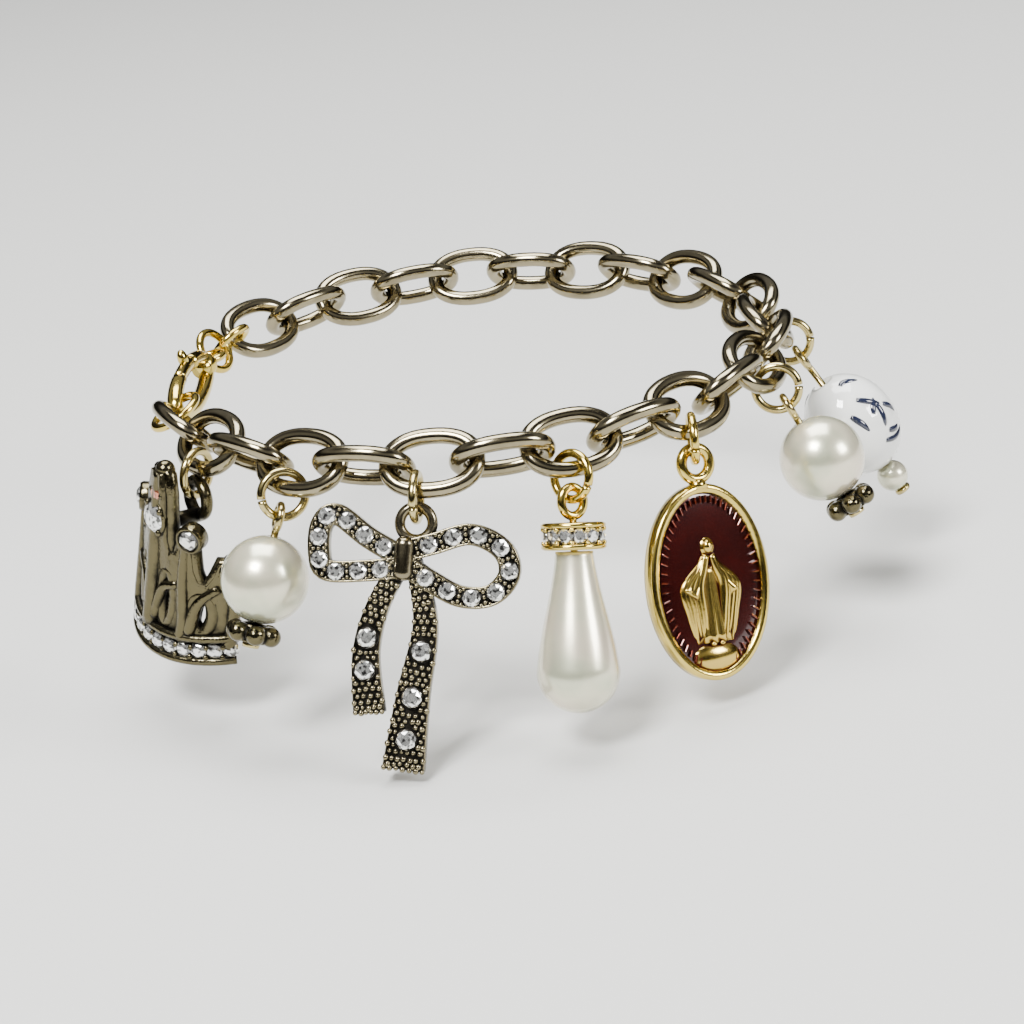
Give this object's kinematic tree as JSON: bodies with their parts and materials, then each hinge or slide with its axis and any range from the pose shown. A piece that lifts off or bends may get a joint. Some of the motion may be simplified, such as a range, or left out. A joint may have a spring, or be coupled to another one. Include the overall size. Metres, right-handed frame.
{
  "type": "charm bracelet",
  "caption": "Oval-link chain bracelet with a lobster clasp and hanging charms: crown, bow, pearl drop, oval enamelled medal, pearls and a porcelain bead.",
  "frame": {"origin": "centre of the loop, halfway up the chain", "axes": "+Z along the wrist, -Y to the front, where the bow hangs, +X to the right"},
  "size_m": [0.0788, 0.0741, 0.0299],
  "materials": {
    "chain_metal": "polished antique nickel",
    "gold": "polished gold plate",
    "antique_metal": "antiqued silver with clear crystals",
    "pearl": "pearl lustre",
    "porcelain": "clear glaze over dark brush strokes",
    "enamel": "translucent deep red enamel"
  },
  "bodies": {
    "chain": {"link_01": "chain_metal", "link_02": "chain_metal", "link_03": "chain_metal", "link_04": "chain_metal", "link_05": "chain_metal", "link_06": "chain_metal", "link_07": "chain_metal", "link_08": "chain_metal", "link_09": "chain_metal", "link_10": "chain_metal", "link_11": "chain_metal", "link_12": "chain_metal", "link_13": "chain_metal", "link_14": "chain_metal", "link_15": "chain_metal", "link_16": "chain_metal", "link_17": "chain_metal", "link_18": "chain_metal", "link_19": "chain_metal", "link_20": "chain_metal", "link_21": "chain_metal", "link_22": "chain_metal", "link_23": "chain_metal", "link_24": "chain_metal", "link_25": "chain_metal", "hook_ring": "gold", "end_ring": "gold", "tail_ring": "gold", "clasp_body": "gold", "pearl_left_ring": "gold", "pearl_left_pin": "gold", "pearl_left": "pearl", "pearl_left_spacer": "antique_metal", "pearl_right_ring": "gold", "pearl_right_pin": "gold", "pearl_right": "pearl", "pearl_right_spacer": "antique_metal", "porcelain_ring": "gold", "porcelain_pin": "gold", "porcelain": "porcelain", "porcelain_end_pearl": "pearl"},
    "crown_drop": {"crown_ring": "gold", "crown": "antique_metal"},
    "bow_drop": {"bow_ring": "gold", "bow": "antique_metal"},
    "teardrop_drop": {"teardrop_ring": "gold", "teardrop_pin": "gold", "teardrop_rondelle": "gold", "teardrop": "pearl"},
    "medal_drop": {"medal_ring": "gold", "medal": "gold", "medal_enamel": "enamel"},
    "lever": {"clasp_lever": "gold"}
  },
  "joints": [
    {"name": "crown_swing", "type": "hinge", "parent": "chain", "child": "crown_drop", "pos_m": [-0.02634, -0.0181, -0.00193], "axis": [-0.5663, 0.8242, 0], "range_deg": [-20, 70]},
    {"name": "bow_swing", "type": "hinge", "parent": "chain", "child": "bow_drop", "pos_m": [-0.00472, -0.03156, -0.00185], "axis": [-0.9947, 0.1028, 0], "range_deg": [-10, 50]},
    {"name": "teardrop_swing", "type": "hinge", "parent": "chain", "child": "teardrop_drop", "pos_m": [0.00949, -0.0305, -0.0019], "axis": [-0.9461, -0.324, 0], "range_deg": [-15, 70]},
    {"name": "medal_swing", "type": "hinge", "parent": "chain", "child": "medal_drop", "pos_m": [0.02094, -0.02407, -0.00184], "axis": [-0.7229, -0.691, 0], "range_deg": [-12, 34]},
    {"name": "lever_hinge", "type": "hinge", "parent": "chain", "child": "lever", "pos_m": [-0.0287, 0.0029, 0.00167], "axis": [-0.9788, 0.1084, -0.1736], "range_deg": [-25, 0]}
  ]
}
